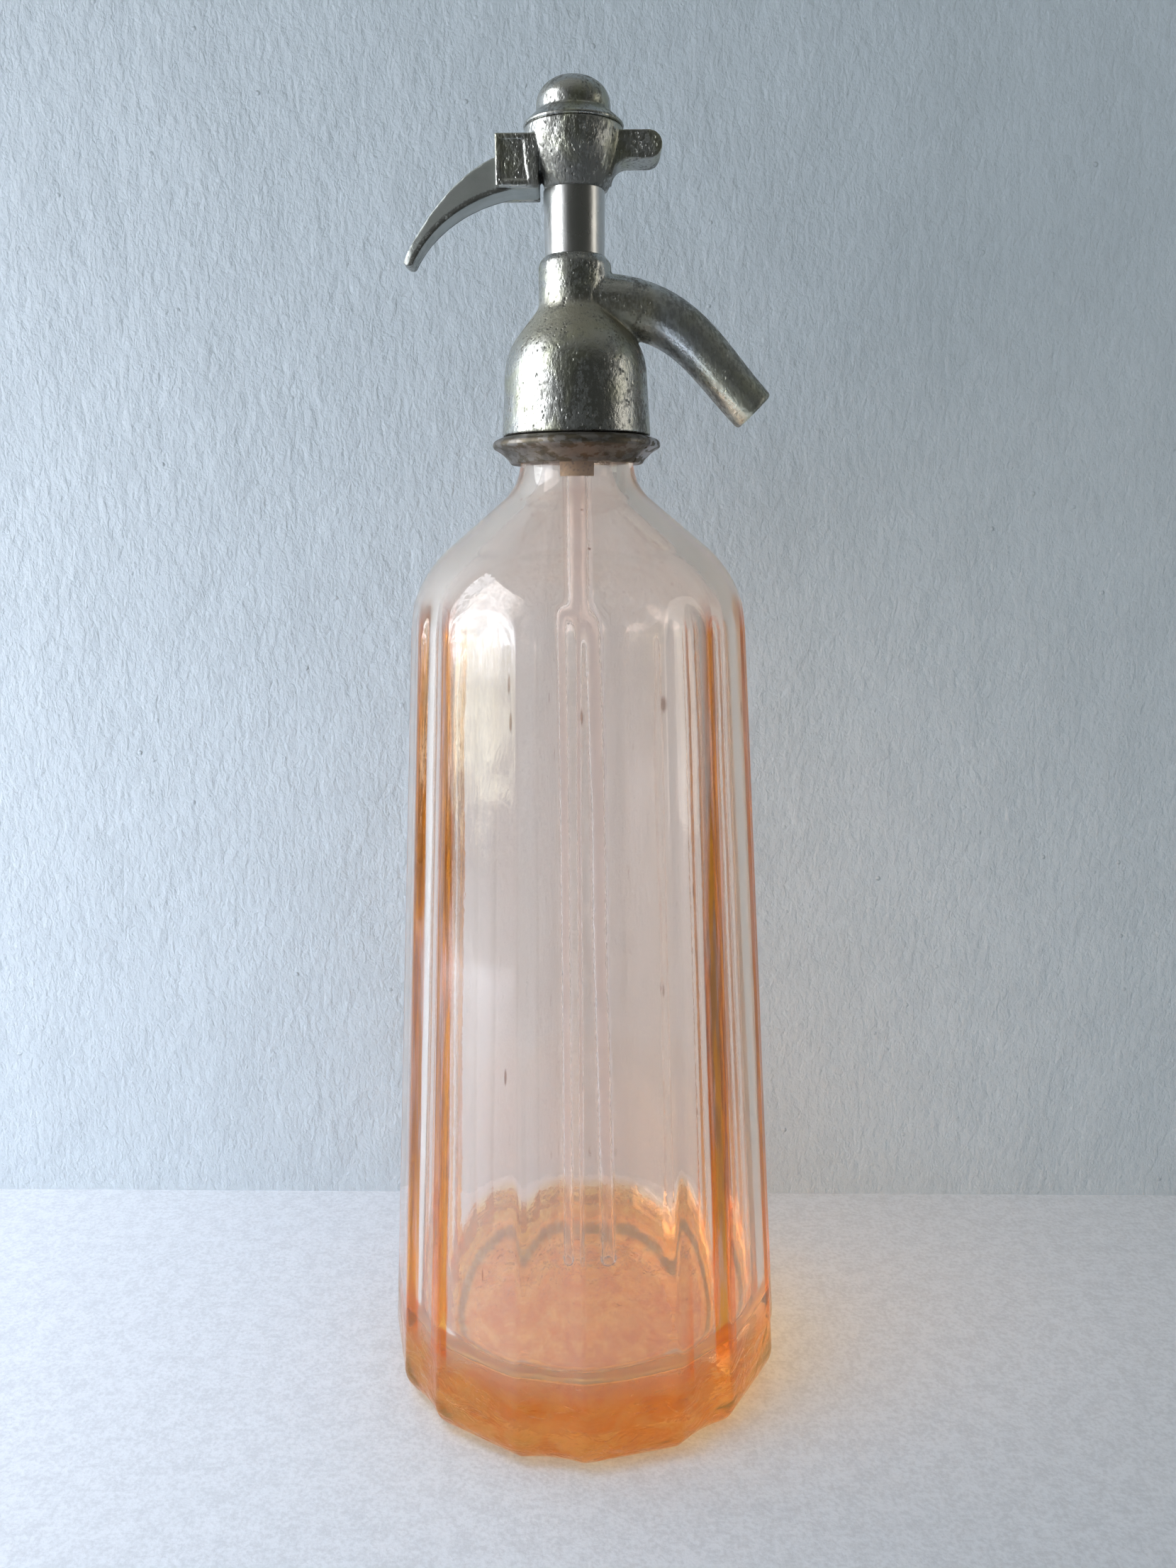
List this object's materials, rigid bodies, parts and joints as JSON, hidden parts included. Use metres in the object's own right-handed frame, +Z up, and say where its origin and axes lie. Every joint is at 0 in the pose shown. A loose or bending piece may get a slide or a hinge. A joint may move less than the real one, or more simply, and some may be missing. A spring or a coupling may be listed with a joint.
{
  "type": "soda siphon",
  "caption": "Soda siphon: a conical faceted glass bottle with a dip tube, and a cast metal head with a hand lever, a sprung valve and a curved spout.",
  "frame": {"origin": "on the bottle's axis, in the plane that the base stands on", "axes": "+Z up along the bottle, +X towards the spout, -X towards the lever"},
  "size_m": [0.1066, 0.1066, 0.3288],
  "materials": {
    "bottle_glass": "clear pale salmon-pink pressed glass, amber where thick",
    "tube_glass": "clear drawn glass",
    "cast_metal": "worn, pitted and tarnished plated casting",
    "polished_metal": "smooth worn plating",
    "lever_metal": "satin grey with small dark pits",
    "collar_metal": "dull brown-grey patina",
    "brass": "turned brass",
    "spring_steel": "drawn wire",
    "gasket_rubber": "matt red-brown rubber",
    "valve_rubber": "matt black rubber",
    "gland_leather": "greased leather",
    "sleeve_cork": "fine-grained cork"
  },
  "bodies": {
    "siphon": {"glass_bottle": "bottle_glass", "collar_half_front": "collar_metal", "collar_half_back": "collar_metal", "neck_gasket": "gasket_rubber", "head_body": "cast_metal", "neck_tube": "polished_metal", "lever_housing": "cast_metal", "cap": "cast_metal", "gland_packing": "gland_leather", "gland_washer": "brass", "lever_pin": "lever_metal", "tube_holder": "brass", "tube_sleeve": "sleeve_cork", "dip_tube": "tube_glass", "return_spring": "spring_steel"},
    "hand_lever": {"lever": "lever_metal"},
    "piston": {"piston_head": "brass", "piston_rod": "brass", "valve_cup": "brass", "valve_washer": "valve_rubber"}
  },
  "joints": [
    {"name": "lever_pivot", "type": "hinge", "parent": "siphon", "child": "hand_lever", "pos_m": [-0.0143, 0, 0.3086], "axis": [0, -1, 0], "range_deg": [0, 12], "stiffness_Nm_per_rad": 0.48, "springref_deg": -12.03},
    {"name": "piston_slide", "type": "slide", "parent": "siphon", "child": "piston", "axis": [0, 0, 1], "range_m": [0, 0.003], "deforming": ["return_spring"]}
  ],
  "couplings": [
    {"joint": "piston_slide", "follows": "lever_pivot", "m_per_rad": 0.013945}
  ]
}
